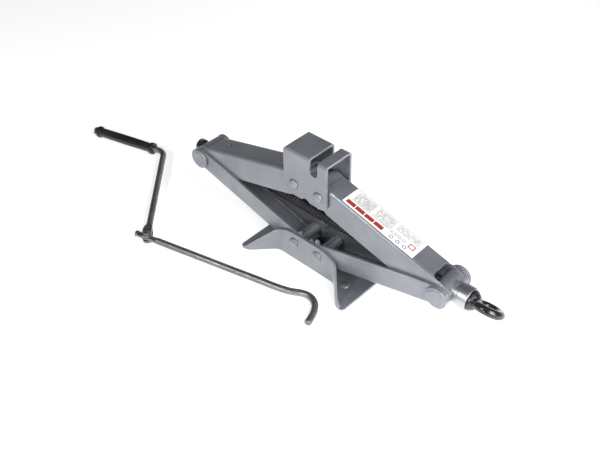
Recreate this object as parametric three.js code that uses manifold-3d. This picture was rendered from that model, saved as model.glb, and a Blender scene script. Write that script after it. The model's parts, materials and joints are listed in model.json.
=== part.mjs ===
// Scissor car jack of pressed sheet steel, with its loose folding crank lying beside it.
//
// The frame is in millimetres: X runs along the lead screw, Y across the jack along its pins, and
// Z up. The origin lies on the ground under the middle of the foot.

import * as THREE from 'three';
import { mergeVertices } from 'three/addons/utils/BufferGeometryUtils.js';
import Module from 'manifold-3d';

const wasm = await Module();
wasm.setup();

// ---------------------------------------------------------------- driving dimensions

const SHEET = 2.5;                              // pressed sheet of the arms, saddle and foot
const FIT = 0.3;                                // gap left between neighbouring pieces
const FILLET = 4;                               // outside radius of the pressed bends
const BIG = 60;                                 // reach of a cutting tool past the work

// Linkage: four equal arms between two pins on the foot, two in the saddle and two trunnions.
const ARM_LENGTH = 153.6;
const ARM_ANGLE = THREE.MathUtils.degToRad(14.8);
const PIN_X = 16.5;
const BASE_PIN_Z = 23.7;
const SCREW_Z = BASE_PIN_Z + ARM_LENGTH * Math.sin(ARM_ANGLE);
const HEAD_PIN_Z = 2 * SCREW_Z - BASE_PIN_Z;
const TRUNNION_X = PIN_X + ARM_LENGTH * Math.cos(ARM_ANGLE);

// Half-widths, from the middle of the jack outwards.
const UPPER_HALF = 15.2;
const LOWER_HALF = 18.1;
const SADDLE_HALF = 19;
const FOOT_HALF = 21;

// Arm channels: the web is on the side away from the screw.
const WEB_TOP = 13.5;
const UPPER_DEPTH = 17;
const LOWER_DEPTH = 13;
const WEB_START = 4;
const EAR_RADIUS = 11.5;
const NOTCH = { upper: 15, lower: 25 };         // length of web cut away at the trunnion
const DRAIN_HOLE = { x: 117, radius: 3.5 };

// Gear sectors on the arm ends, which make both sides rise together.
const TEETH = 11;
const MODULE = 3;
const PITCH_RADIUS = PIN_X;
const PRESSURE = THREE.MathUtils.degToRad(25);
const TOOTH_RADIUS = PITCH_RADIUS + 2.4;
const ROOT_RADIUS = PITCH_RADIUS - 3.15;
const BACKLASH = 0.35;
const SECTOR_TEETH = 4;

// Saddle that carries the car.
const SADDLE = { left: -29.6, right: 28, top: 143.5, bottom: 88.5 };
const SLOT = { left: 5.5, right: 16.5, bottom: 125 };

// Foot: a pan with a flat floor and walls that flare out into four toes.
const FOOT_END = 75;
const FOOT_TOE = 46.5;
const FOOT_WALL = 36;
const DIMPLE = { x: 53, y: 17, radius: 5, height: 1.6 };

// Pins and rivets.
const SHANK = 4;
const SLEEVE = 6.2;
const RIVET_HEAD = 5.8;
const TRUNNION = { radius: 11.5, half: 12.4, stub: 6, reach: 18.2, boss: 10.5, bossEnd: 11.8 };
const CAP = { radius: 12, from: 18.5, to: 22.5 };

// Lead screw and drive end. Stations are along X.
const SCREW_RADIUS = 6.5;
const SCREW_LEFT = -185;
const STOP = { from: -184.5, to: -179.5, radius: 7.8, pin: 1.5 };
const BEARING = { from: TRUNNION_X + 12.1, to: TRUNNION_X + 14.6, radius: 11 };
const COLLAR = { from: TRUNNION_X + 14.9, to: TRUNNION_X + 26, radius: 12 };
const NECK = { to: COLLAR.to + 8, radius: 10.5 };
const EYE = { x: 209, ring: 12, wire: 4.4, tilt: THREE.MathUtils.degToRad(-38) };

// Sticker on the right upper arm, in that arm's own frame.
const STICKER = { from: 23.8, to: 113.8, half: 12.2, thick: 0.4 };

// Crank: a hooked rod riveted into the forked end of an arm that carries a turning grip.
const CRANK_PIVOT = new THREE.Vector2(-158.1, -111.9);
const CRANK_Z = 7.6;
const ROD_RADIUS = 3.75;
const ROD_YAW = THREE.MathUtils.degToRad(15);
const ARM_YAW = THREE.MathUtils.degToRad(133.7);
const GRIP_TURN = THREE.MathUtils.degToRad(61.3);
const CRANK_REACH = 163.2;
const TAB = { from: -9, to: 11, half: 2, wide: 4.8 };
const PRONG = { inner: 2.3, outer: 5.3, half: 5, root: 9, end: 17 };
const GRIP = { from: 15.5, to: 104.2, radius: 6, collar: 7.6, bore: 4.1, lip: 4 };
const SPINDLE_END = 110.6;

// ---------------------------------------------------------------- geometry helpers

const X = new THREE.Vector3(1, 0, 0);
const Y = new THREE.Vector3(0, 1, 0);
const Z = new THREE.Vector3(0, 0, 1);

// Closed outline through the corners [u, v, radius]; a radius rounds that corner off.
function outline(corners) {
  const shape = new THREE.Shape();
  corners.forEach(([u, v, radius = 0], index) => {
    const corner = new THREE.Vector2(u, v);
    const before = new THREE.Vector2(...corners.at(index - 1)).sub(corner).normalize();
    const after = new THREE.Vector2(...corners[(index + 1) % corners.length]).sub(corner).normalize();
    const start = index === 0 ? 'moveTo' : 'lineTo';
    if (radius === 0) {
      shape[start](u, v);
      return;
    }
    const half = Math.acos(THREE.MathUtils.clamp(before.dot(after), -1, 1)) / 2;
    const tangent = radius / Math.tan(half);
    const centre = before.clone().add(after).normalize().multiplyScalar(radius / Math.sin(half)).add(corner);
    const first = before.clone().multiplyScalar(tangent).add(corner);
    const last = after.clone().multiplyScalar(tangent).add(corner);
    shape[start](first.x, first.y);
    shape.absarc(centre.x, centre.y, radius, first.clone().sub(centre).angle(),
      last.clone().sub(centre).angle(), before.cross(after) > 0);
  });
  return shape;
}

// Circle as a shape.
function disc(u, v, radius) {
  return new THREE.Shape().absarc(u, v, radius, 0, 2 * Math.PI, false);
}

// Extrusion of a shape along one axis. Across Y the shape is drawn in X and Z; along X it is drawn
// in Y and Z.
function prism(shape, axis, from, to, curveSegments = 4) {
  const geometry = new THREE.ExtrudeGeometry(shape, {
    depth: to - from, bevelEnabled: false, curveSegments,
  });
  if (axis === 'x') {
    geometry.applyMatrix4(new THREE.Matrix4().makeBasis(Y, Z, X));
    return geometry.translate(from, 0, 0);
  }
  if (axis === 'y') {
    return geometry.rotateX(Math.PI / 2).translate(0, to, 0);
  }
  return geometry.translate(0, 0, from);
}

// Piece turned about an axis from a profile of [radius, station] points, in rising stations.
function turned(profile, axis, segments = 20) {
  const points = profile.map(([radius, station]) => new THREE.Vector2(radius, station));
  const geometry = new THREE.LatheGeometry(points, segments);
  if (axis === 'x') {
    return geometry.rotateZ(-Math.PI / 2);
  }
  if (axis === 'z') {
    return geometry.rotateX(Math.PI / 2);
  }
  return geometry;
}

// Plain round bar between two stations.
function bar(radius, axis, from, to, segments = 16) {
  return turned([[0, from], [radius, from], [radius, to], [0, to]], axis, segments);
}

// Round ring with a bore.
function ring(radius, bore, axis, from, to, segments = 20) {
  const profile = [[bore, from], [radius, from], [radius, to], [bore, to], [bore, from]];
  return turned(profile, axis, segments);
}

// Closed geometry as a solid that can be joined and cut.
function solid(geometry) {
  geometry.deleteAttribute('normal');
  geometry.deleteAttribute('uv');
  const merged = mergeVertices(geometry, 1e-4);
  const index = merged.index.array;
  const kept = [];
  for (let i = 0; i < index.length; i += 3) {
    const [a, b, c] = [index[i], index[i + 1], index[i + 2]];
    if (a !== b && b !== c && c !== a) {
      kept.push(a, b, c);
    }
  }
  return new wasm.Manifold(new wasm.Mesh({
    numProp: 3,
    vertProperties: merged.attributes.position.array,
    triVerts: new Uint32Array(kept),
  }));
}

function join(...geometries) {
  return geometries.map(solid).reduce((sum, piece) => sum.add(piece));
}

function cut(body, ...tools) {
  return tools.map(solid).reduce((rest, tool) => rest.subtract(tool), body);
}

// Named mesh of a solid, or of a closed geometry.
function piece(name, body, material) {
  const { vertProperties, triVerts } = (body.isBufferGeometry ? solid(body) : body).getMesh();
  const geometry = new THREE.BufferGeometry();
  geometry.setAttribute('position', new THREE.BufferAttribute(vertProperties, 3));
  geometry.setIndex(new THREE.BufferAttribute(triVerts, 1));
  geometry.computeVertexNormals();
  const mesh = new THREE.Mesh(geometry, new THREE.MeshStandardMaterial(material));
  mesh.name = name;
  return mesh;
}

// ---------------------------------------------------------------- materials

const SILVER_PAINT = { color: 0x8d929b, roughness: 0.42, metalness: 0.35 };
const BRIGHT_STEEL = { color: 0xb9bcc0, roughness: 0.25, metalness: 1 };
const BLACK_STEEL = { color: 0x17181a, roughness: 0.35, metalness: 0.4 };
const GREASED_STEEL = { color: 0x2a2a2b, roughness: 0.3, metalness: 0.8 };
const BLACK_PLASTIC = { color: 0x0e0e10, roughness: 0.2, metalness: 0 };
const STICKER_WHITE = { color: 0xf2efec, roughness: 0.4, metalness: 0 };

// ---------------------------------------------------------------- arms

// Half of the angle that a gear tooth fills at a radius.
function toothHalfAngle(radius) {
  const involute = (angle) => Math.tan(angle) - angle;
  const base = PITCH_RADIUS * Math.cos(PRESSURE);
  const atPitch = (Math.PI * MODULE / 2 - BACKLASH) / (2 * PITCH_RADIUS);
  return atPitch + involute(PRESSURE) - involute(Math.acos(Math.min(1, base / radius)));
}

// One tooth of the sector, standing on the root circle.
function tooth(centre) {
  const base = PITCH_RADIUS * Math.cos(PRESSURE);
  const radii = [ROOT_RADIUS - 1, base, PITCH_RADIUS - 0.4, PITCH_RADIUS + 1, TOOTH_RADIUS];
  const flank = (side) => radii.map((radius) => {
    const angle = centre + side * toothHalfAngle(Math.max(radius, base));
    return new THREE.Vector2(radius * Math.cos(angle), radius * Math.sin(angle));
  });
  return new THREE.Shape([...flank(-1), ...flank(1).reverse()]);
}

// Gear sector round the pin at the arm's origin. The line of centres meets the sector at the angle
// pi + ARM_ANGLE in the arm's frame; one arm of a pair has a tooth there and the other a gap.
function gearSector(half, phase) {
  const first = Math.PI + ARM_ANGLE - (2 * Math.PI / TEETH) * (1 - phase);
  const teeth = Array.from({ length: SECTOR_TEETH }, (_, index) => {
    return prism(tooth(first + index * 2 * Math.PI / TEETH), 'y', -half, half);
  });
  return [prism(disc(0, 0, ROOT_RADIUS), 'y', -half, half, 14), ...teeth];
}

// Pressed channel in its own frame: X runs from the geared pin to the trunnion, and Z points away
// from the screw, towards the web.
function armChannel({ half, depth, notch, phase }) {
  const side = outline([
    [0, WEB_TOP],
    [ARM_LENGTH - 7, WEB_TOP, 4],
    [ARM_LENGTH, EAR_RADIUS],
    [ARM_LENGTH, -EAR_RADIUS],
    [ARM_LENGTH - 34, -depth, 20],
    [14, -depth, 10],
    [0, -ROOT_RADIUS],
  ]);
  const section = outline([
    [-half, -BIG],
    [-half + SHEET, -BIG],
    [-half + SHEET, WEB_TOP - SHEET, FILLET - SHEET],
    [half - SHEET, WEB_TOP - SHEET, FILLET - SHEET],
    [half - SHEET, -BIG],
    [half, -BIG],
    [half, WEB_TOP, FILLET],
    [-half, WEB_TOP, FILLET],
  ]);
  const blank = join(
    prism(side, 'y', -half, half),
    prism(disc(ARM_LENGTH, 0, EAR_RADIUS), 'y', -half, half, 12),
    ...gearSector(half, phase),
  );
  const inside = half - SHEET;
  const webEnd = outline([
    [ARM_LENGTH - notch, -inside, 5],
    [ARM_LENGTH + BIG, -inside],
    [ARM_LENGTH + BIG, inside],
    [ARM_LENGTH - notch, inside, 5],
  ]);
  const webStart = outline([
    [-BIG, -BIG],
    [WEB_START, -BIG],
    [WEB_START, BIG],
    [-BIG, BIG],
  ]);
  const channel = blank.intersect(solid(prism(section, 'x', -BIG, ARM_LENGTH + BIG)));
  return cut(
    channel,
    prism(webEnd, 'z', 0, BIG),
    prism(webStart, 'z', ROOT_RADIUS - 1.5, BIG),
    bar(SHANK + FIT, 'y', -BIG, BIG),
    bar(TRUNNION.stub + FIT, 'y', -BIG, BIG).translate(ARM_LENGTH, 0, 0),
  );
}

// Upper arm, with an optional drain hole in its web.
function upperArm(phase, drain) {
  const arm = armChannel({
    half: UPPER_HALF, depth: UPPER_DEPTH, notch: NOTCH.upper, phase,
  });
  return drain ? cut(arm, bar(DRAIN_HOLE.radius, 'z', 0, BIG).translate(DRAIN_HOLE.x, 0, 0)) : arm;
}

function lowerArm(phase) {
  return armChannel({ half: LOWER_HALF, depth: LOWER_DEPTH, notch: NOTCH.lower, phase });
}

// Thin printed sticker lying just above the web.
function sticker() {
  const { from, to, half, thick } = STICKER;
  const shape = outline([[from, -half, 1], [to, -half, 1], [to, half, 1], [from, half, 1]]);
  return prism(shape, 'z', WEB_TOP + FIT / 2, WEB_TOP + FIT / 2 + thick, 2);
}

// Group that carries an arm's frame to its place: side is -1 on the left and +1 on the right,
// and level is -1 for the lower arms and +1 for the upper arms.
function armFrame(side, level) {
  const frame = new THREE.Group();
  const turnOver = level < 0 ? Math.PI : 0;
  const turnRound = side < 0 ? Math.PI : 0;
  frame.rotation.set(turnOver, side * level * ARM_ANGLE, turnRound, 'YXZ');
  frame.position.set(side * PIN_X, 0, level < 0 ? BASE_PIN_Z : HEAD_PIN_Z);
  return frame;
}

// ---------------------------------------------------------------- saddle

// Inverted channel with one end folded down and a slot across it for a car's sill flange.
function saddle() {
  const { left, right, top, bottom } = SADDLE;
  const side = outline([
    [left, top, FILLET],
    [left, bottom, 11],
    [-6, bottom],
    [0, bottom + 4, 4],
    [6, bottom],
    [right, bottom, 7],
    [right, top],
  ]);
  const inside = SADDLE_HALF - SHEET;
  const section = outline([
    [-SADDLE_HALF, bottom - BIG],
    [SADDLE_HALF, bottom - BIG],
    [SADDLE_HALF, top, FILLET],
    [-SADDLE_HALF, top, FILLET],
  ]);
  const hollow = outline([
    [-inside, bottom - BIG],
    [inside, bottom - BIG],
    [inside, top - SHEET, FILLET - SHEET],
    [-inside, top - SHEET, FILLET - SHEET],
  ]);
  const belowEnd = outline([
    [left - BIG, bottom - BIG],
    [left + SHEET + 0.1, bottom - BIG],
    [left + SHEET + 0.1, top - 26],
    [left - BIG, top - 26],
  ]);
  const slot = outline([
    [SLOT.left, SLOT.bottom, 4],
    [SLOT.right, SLOT.bottom, 4],
    [SLOT.right, top + BIG],
    [SLOT.left, top + BIG],
  ]);
  const block = solid(prism(side, 'y', -SADDLE_HALF, SADDLE_HALF));
  const pins = [-PIN_X, PIN_X].map((x) => {
    return bar(SHANK + FIT, 'y', -BIG, BIG).translate(x, 0, HEAD_PIN_Z);
  });
  return cut(
    block.intersect(solid(prism(section, 'x', -BIG, BIG))),
    prism(hollow, 'x', left + SHEET, BIG),
    prism(belowEnd, 'y', -inside, inside),
    prism(slot, 'y', -BIG, BIG),
    ...pins,
  );
}

// ---------------------------------------------------------------- foot

// Half of the pan's plan, at an inset from its outer edge, from the left end to the right end.
function footEdge(inset, end) {
  const waist = FOOT_HALF - inset;
  const toe = FOOT_TOE - inset;
  return [
    [-end, toe],
    [-65 - inset / 2, toe, 14],
    [-40 - inset / 2, waist, 12],
    [40 + inset / 2, waist, 12],
    [65 + inset / 2, toe, 14],
    [end, toe],
  ];
}

function footPlan(inset, end, corner) {
  const upper = footEdge(inset, end);
  upper[0][2] = corner;
  upper[upper.length - 1][2] = corner;
  const lower = upper.map(([x, y, radius]) => [-x, -y, radius]);
  return outline([...upper.reverse(), ...lower.reverse()].map(([x, y, radius]) => [x, y, radius]));
}

// Pan pressed from one sheet: a flat floor, and walls that fall to nothing at the toes.
function foot() {
  const floor = prism(footPlan(0, FOOT_END, 4), 'z', 0, SHEET);
  const walls = solid(prism(footPlan(0, FOOT_END, 4), 'z', 0, FOOT_WALL));
  const fall = outline([
    [-FOOT_END - 1, -1],
    [FOOT_END + 1, -1],
    [FOOT_END + 1, SHEET],
    [FOOT_END - 5, SHEET],
    [42, 28, 14],
    [24, FOOT_WALL, 30],
    [-24, FOOT_WALL, 30],
    [-42, 28, 14],
    [-FOOT_END + 5, SHEET],
    [-FOOT_END - 1, SHEET],
  ]);
  const pan = cut(walls, prism(footPlan(SHEET, FOOT_END + BIG, 0), 'z', SHEET, BIG))
    .intersect(solid(prism(fall, 'y', -BIG, BIG)));
  const { x, y, radius, height } = DIMPLE;
  const dome = [[0, SHEET / 2], [radius, SHEET / 2], [radius / 2, SHEET + height], [0, SHEET + height]];
  const dimples = [[x, y], [x, -y], [-x, y], [-x, -y]].map(([dx, dy]) => {
    return turned(dome, 'z', 12).translate(dx, dy, 0);
  });
  const pins = [-PIN_X, PIN_X].map((px) => {
    return bar(SHANK + FIT, 'y', -BIG, BIG).translate(px, 0, BASE_PIN_Z);
  });
  return cut(pan.add(join(floor, ...dimples)), ...pins);
}

// ---------------------------------------------------------------- pins, rivets and trunnions

// Rivet along Y with a domed head outside each cheek.
function rivet(cheek, headRadius, headHeight) {
  const under = cheek + FIT;
  const top = under + headHeight;
  const half = [
    [SHANK, under],
    [headRadius, under],
    [headRadius, under + headHeight * 0.25],
    [headRadius * 0.65, under + headHeight * 0.85],
    [0, top],
  ];
  const mirrored = half.map(([radius, station]) => [radius, -station]).reverse();
  return turned([...mirrored, ...half], 'y', 16);
}

// Crosswise barrel that both arms of one side pivot on, bored through for the screw.
function trunnion(boss) {
  const { radius, half, stub, reach } = TRUNNION;
  const barrel = turned([
    [0, -reach], [stub, -reach], [stub, -half], [radius, -half],
    [radius, half], [stub, half], [stub, reach], [0, reach],
  ], 'y', 24);
  const body = boss ? join(barrel, bar(TRUNNION.boss, 'x', 0, TRUNNION.bossEnd)) : solid(barrel);
  return cut(body, bar(SCREW_RADIUS + 0.45, 'x', -BIG, BIG));
}

// Disc head that closes a trunnion outside the arms.
function trunnionCap(side) {
  const { radius, from, to } = CAP;
  const profile = [
    [0, from], [radius, from], [radius, to - 1.2], [radius - 1.2, to], [0, to],
  ];
  const cap = turned(profile, 'y', 24);
  return side < 0 ? cap.rotateZ(Math.PI) : cap;
}

// ---------------------------------------------------------------- lead screw and drive end

function stopPin(clearance) {
  return bar(STOP.pin + clearance, 'z', -STOP.radius, STOP.radius, 12)
    .translate((STOP.from + STOP.to) / 2, 0, 0);
}

function leadScrew() {
  const chamfer = 1.2;
  const profile = [
    [0, SCREW_LEFT], [SCREW_RADIUS - chamfer, SCREW_LEFT], [SCREW_RADIUS, SCREW_LEFT + chamfer],
    [SCREW_RADIUS, COLLAR.to], [0, COLLAR.to],
  ];
  return cut(solid(turned(profile, 'x')), stopPin(FIT));
}

// Neck and ring forged in one piece; the crank's hook goes through the ring.
function driveEye() {
  const start = COLLAR.to + FIT;
  const neck = turned([
    [0, start], [NECK.radius, start], [NECK.radius, NECK.to - 5], [NECK.radius - 1, NECK.to - 3],
    [5.5, NECK.to], [0, NECK.to],
  ], 'x');
  const loop = new THREE.TorusGeometry(EYE.ring, EYE.wire, 8, 22).rotateX(EYE.tilt).translate(EYE.x, 0, 0);
  return join(neck, loop);
}

// ---------------------------------------------------------------- crank

// Round rod bent along a curve.
function bentRod(curve, radius, steps) {
  return new THREE.ExtrudeGeometry(disc(0, 0, radius), {
    steps, curveSegments: 5, bevelEnabled: false, extrudePath: curve,
  });
}

// Rod in its own frame: X runs from the pivot to the hook, and Z is measured from the pivot's
// middle height. The rod sinks so that the hook rests on the ground.
function crankRod() {
  const hook = [
    [-15, 0], [-5, 0], [12, 0], [60, 0], [120, 0], [172, 0], [184, 1.4], [194, 4.2], [204, 3.9],
    [212.5, -2], [217, -11], [218.6, -21], [219, -30],
  ];
  const sink = (CRANK_Z - ROD_RADIUS) / (219 - TAB.to);
  const points = hook.map(([x, y]) => new THREE.Vector3(x, y, -sink * Math.max(0, x - TAB.to)));
  const rod = bentRod(new THREE.CatmullRomCurve3(points, false, 'centripetal'), ROD_RADIUS, 30);
  const flats = [-1, 1].map((side) => {
    const shape = outline([[TAB.from, -BIG], [TAB.to, -BIG], [TAB.to, BIG], [TAB.from, BIG]]);
    const near = Math.min(side * TAB.half, side * BIG);
    return prism(shape, 'z', near, near + BIG - TAB.half);
  });
  const pad = prism(disc(0, 0, TAB.wide), 'z', -TAB.half, TAB.half, 8);
  const body = cut(solid(rod), ...flats).add(solid(pad));
  return cut(body, bar(SHANK / 2 + FIT, 'z', -BIG, BIG, 16));
}

// Crank arm in its own frame: X runs from the pivot to the bend, then the spindle turns off.
function crankArm() {
  const bend = 14 * Math.tan(GRIP_TURN / 2);
  const along = new THREE.Vector3(Math.cos(GRIP_TURN), Math.sin(GRIP_TURN), 0);
  const corner = new THREE.Vector3(CRANK_REACH, 0, 0);
  const path = new THREE.CurvePath();
  const bendStart = new THREE.Vector3(CRANK_REACH - bend, 0, 0);
  const bendEnd = along.clone().multiplyScalar(bend).add(corner);
  path.add(new THREE.LineCurve3(new THREE.Vector3(PRONG.root + 3, 0, 0), bendStart));
  path.add(new THREE.QuadraticBezierCurve3(bendStart, corner, bendEnd));
  path.add(new THREE.LineCurve3(bendEnd, along.clone().multiplyScalar(SPINDLE_END).add(corner)));
  const rod = bentRod(path, ROD_RADIUS, 34);
  const head = bar(ROD_RADIUS + 1.3, 'x', SPINDLE_END - 2.6, SPINDLE_END, 16)
    .rotateZ(GRIP_TURN).translate(CRANK_REACH, 0, 0);
  const forkSide = outline([
    [-PRONG.half, -PRONG.outer], [PRONG.root, -PRONG.outer], [PRONG.end, -ROD_RADIUS + 0.4],
    [PRONG.end, ROD_RADIUS - 0.4], [PRONG.root, PRONG.outer], [-PRONG.half, PRONG.outer],
  ]);
  const forkPlan = outline([
    [-PRONG.half, -PRONG.half, PRONG.half - 0.01], [PRONG.end, -PRONG.half, 3],
    [PRONG.end, PRONG.half, 3], [-PRONG.half, PRONG.half, PRONG.half - 0.01],
  ]);
  const slot = outline([
    [-BIG, -PRONG.inner], [PRONG.root, -PRONG.inner], [PRONG.root, PRONG.inner], [-BIG, PRONG.inner],
  ]);
  const fork = solid(prism(forkSide, 'y', -PRONG.half, PRONG.half))
    .intersect(solid(prism(forkPlan, 'z', -BIG, BIG)));
  return cut(
    fork.add(join(rod, head)),
    prism(slot, 'y', -BIG, BIG),
    bar(SHANK / 2 + FIT, 'z', -BIG, BIG, 16),
  );
}

// Small rivet through the fork and the flattened rod.
function crankRivet() {
  const under = PRONG.outer + FIT;
  const shank = SHANK / 2;
  return turned([
    [0, -CRANK_Z], [2, -CRANK_Z], [4, -CRANK_Z + 1.2], [4, -under], [shank, -under],
    [shank, under], [4, under], [4, CRANK_Z - 1.2], [2, CRANK_Z], [0, CRANK_Z],
  ], 'z', 18);
}

// Turning sleeve with a collar at each end. Its frame is the arm's, shifted to the bend.
function gripSleeve() {
  const { from, to, radius, collar, bore, lip } = GRIP;
  return turned([
    [bore, from], [collar - 0.6, from], [collar, from + 0.8], [collar, from + lip],
    [radius, from + lip + 2.5], [radius, to - lip - 1.5], [collar, to - lip], [collar, to - 0.8],
    [collar - 0.6, to], [bore, to], [bore, from],
  ], 'x', 20);
}

function gripWasher() {
  return ring(5.8, GRIP.bore, 'x', GRIP.to + FIT, GRIP.to + 2.4, 20);
}

// ---------------------------------------------------------------- assembly

const jack = new THREE.Group();

jack.add(piece('foot_pan', foot(), SILVER_PAINT));
jack.add(piece('saddle', saddle(), SILVER_PAINT));

const SIDES = [['left', -1], ['right', 1]];
const LEVELS = [
  { name: 'foot', height: BASE_PIN_Z, cheek: FOOT_HALF, head: 2, arms: LOWER_HALF },
  { name: 'saddle', height: HEAD_PIN_Z, cheek: SADDLE_HALF, head: 2.5, arms: UPPER_HALF },
];

for (const [sideName, side] of SIDES) {
  const phase = side < 0 ? 0 : 0.5;
  const lower = armFrame(side, -1);
  lower.add(piece(`lower_arm_${sideName}`, lowerArm(phase), SILVER_PAINT));
  const upper = armFrame(side, 1);
  upper.add(piece(`upper_arm_${sideName}`, upperArm(phase, side < 0), SILVER_PAINT));
  if (side > 0) {
    upper.add(piece('rating_sticker', sticker(), STICKER_WHITE));
  }
  jack.add(lower, upper);

  for (const level of LEVELS) {
    const pin = new THREE.Group();
    pin.position.set(side * PIN_X, 0, level.height);
    const headed = rivet(level.cheek, RIVET_HEAD, level.head);
    pin.add(piece(`${level.name}_rivet_${sideName}`, headed, SILVER_PAINT));
    const sleeveHalf = level.arms - SHEET - FIT;
    const sleeve = ring(SLEEVE, SHANK + FIT, 'y', -sleeveHalf, sleeveHalf);
    pin.add(piece(`${level.name}_sleeve_${sideName}`, sleeve, SILVER_PAINT));
    jack.add(pin);
  }

  const pivot = new THREE.Group();
  pivot.position.set(side * TRUNNION_X, 0, SCREW_Z);
  pivot.add(piece(side < 0 ? 'nut_trunnion' : 'thrust_trunnion', trunnion(side > 0), SILVER_PAINT));
  for (const [capName, capSide] of [['front', -1], ['back', 1]]) {
    pivot.add(piece(`trunnion_cap_${sideName}_${capName}`, trunnionCap(capSide), SILVER_PAINT));
  }
  jack.add(pivot);
}

const screwLine = new THREE.Group();
screwLine.position.z = SCREW_Z;
screwLine.add(piece('lead_screw', leadScrew(), GREASED_STEEL));
const stopRing = ring(STOP.radius, SCREW_RADIUS + FIT, 'x', STOP.from, STOP.to);
screwLine.add(piece('screw_stop', cut(solid(stopRing), stopPin(FIT)), BLACK_STEEL));
screwLine.add(piece('stop_pin', stopPin(0), BRIGHT_STEEL));
const bearing = ring(BEARING.radius, SCREW_RADIUS + FIT, 'x', BEARING.from, BEARING.to);
screwLine.add(piece('thrust_washer', bearing, BRIGHT_STEEL));
const collar = ring(COLLAR.radius, SCREW_RADIUS + FIT, 'x', COLLAR.from, COLLAR.to);
screwLine.add(piece('thrust_collar', collar, BRIGHT_STEEL));
screwLine.add(piece('drive_eye', driveEye(), BLACK_STEEL));
jack.add(screwLine);

const rodFrame = new THREE.Group();
rodFrame.position.set(CRANK_PIVOT.x, CRANK_PIVOT.y, CRANK_Z);
rodFrame.rotation.z = ROD_YAW;
rodFrame.add(piece('crank_rod', crankRod(), BRIGHT_STEEL));
jack.add(rodFrame);

const armFrameOfCrank = new THREE.Group();
armFrameOfCrank.position.set(CRANK_PIVOT.x, CRANK_PIVOT.y, CRANK_Z);
armFrameOfCrank.rotation.z = ARM_YAW;
armFrameOfCrank.add(piece('crank_arm', crankArm(), BRIGHT_STEEL));
armFrameOfCrank.add(piece('crank_rivet', crankRivet(), BRIGHT_STEEL));
const gripFrame = new THREE.Group();
gripFrame.position.x = CRANK_REACH;
gripFrame.rotation.z = GRIP_TURN;
gripFrame.add(piece('grip_sleeve', gripSleeve(), BLACK_PLASTIC));
gripFrame.add(piece('grip_washer', gripWasher(), BRIGHT_STEEL));
armFrameOfCrank.add(gripFrame);
jack.add(armFrameOfCrank);

export default jack;
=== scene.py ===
import json
import math

import bmesh
import bpy
from mathutils import Matrix, Vector

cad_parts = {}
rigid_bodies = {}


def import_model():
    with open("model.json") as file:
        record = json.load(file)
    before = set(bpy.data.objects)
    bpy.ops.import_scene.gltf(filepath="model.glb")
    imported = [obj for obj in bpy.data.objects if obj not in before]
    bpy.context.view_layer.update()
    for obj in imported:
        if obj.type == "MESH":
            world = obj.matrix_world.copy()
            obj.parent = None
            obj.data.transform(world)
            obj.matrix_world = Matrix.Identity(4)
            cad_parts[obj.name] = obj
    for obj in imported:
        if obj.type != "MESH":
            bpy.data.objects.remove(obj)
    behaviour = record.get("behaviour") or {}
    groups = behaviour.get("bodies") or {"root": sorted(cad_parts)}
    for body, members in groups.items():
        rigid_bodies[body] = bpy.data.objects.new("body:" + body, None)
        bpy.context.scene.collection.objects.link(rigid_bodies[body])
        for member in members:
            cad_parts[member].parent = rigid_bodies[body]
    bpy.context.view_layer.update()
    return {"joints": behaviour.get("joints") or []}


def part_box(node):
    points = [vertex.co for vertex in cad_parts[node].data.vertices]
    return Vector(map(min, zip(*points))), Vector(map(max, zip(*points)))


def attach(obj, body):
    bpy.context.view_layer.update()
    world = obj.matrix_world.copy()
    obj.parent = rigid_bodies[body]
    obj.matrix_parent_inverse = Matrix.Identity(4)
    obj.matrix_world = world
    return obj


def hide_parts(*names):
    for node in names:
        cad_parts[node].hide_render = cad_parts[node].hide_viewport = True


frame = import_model()


# ---------------------------------------------------------------- foot pan
# The foot is one blank of 2.5 mm steel, pressed into a pan. Its floor lies flat on the ground, its
# walls flare out into four toes, and a dimple stiffens each corner of the floor.

MM = 0.001
SHEET = 2.5
BEYOND = 60
SHANK = 4
FOOT_WAIST = 21
DIMPLE, DIMPLE_RISE, DIMPLE_X, DIMPLE_Y = 5, 1.6, 53, 17
AXIS_ORDER = {"x": (2, 0, 1), "y": (0, 2, 1), "z": (0, 1, 2)}
foot_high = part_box("foot_pan")[1] / MM
foot_pin = {joint["child"]: Vector(joint["pos_m"]) / MM for joint in frame["joints"]
            if joint["parent"] == "foot" and joint["type"] == "hinge"}
PIN_X, FOOT_PIN_Z = foot_pin["lower_right"].x, foot_pin["lower_right"].z


def rounded(corners, steps=8):
    """Points of a closed outline through (u, v, radius) corners, each rounded off with an arc."""
    points = []
    for i, (u, v, radius) in enumerate(corners):
        here = Vector((u, v))
        if radius == 0:
            points.append(here)
            continue
        before = (Vector(corners[i - 1][:2]) - here).normalized()
        after = (Vector(corners[(i + 1) % len(corners)][:2]) - here).normalized()
        half = before.angle(after) / 2
        centre = here + (before + after).normalized() * radius / math.sin(half)
        start = here + before * radius / math.tan(half) - centre
        turn = math.copysign(math.pi - 2 * half, -before.cross(after))
        for k in range(steps + 1):
            points.append(centre + Matrix.Rotation(turn * k / steps, 2) @ start)
    return points


def placed(name, data):
    """New object in the scene that holds a mesh, a light or a camera."""
    piece = bpy.data.objects.new(name, data)
    bpy.context.scene.collection.objects.link(piece)
    return piece


def shaped(name, build):
    """Mesh object of a bmesh, with its faces turned outwards."""
    bmesh.ops.recalc_face_normals(build, faces=build.faces)
    mesh = bpy.data.meshes.new(name)
    build.to_mesh(mesh)
    build.free()
    return placed(name, mesh)


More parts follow.
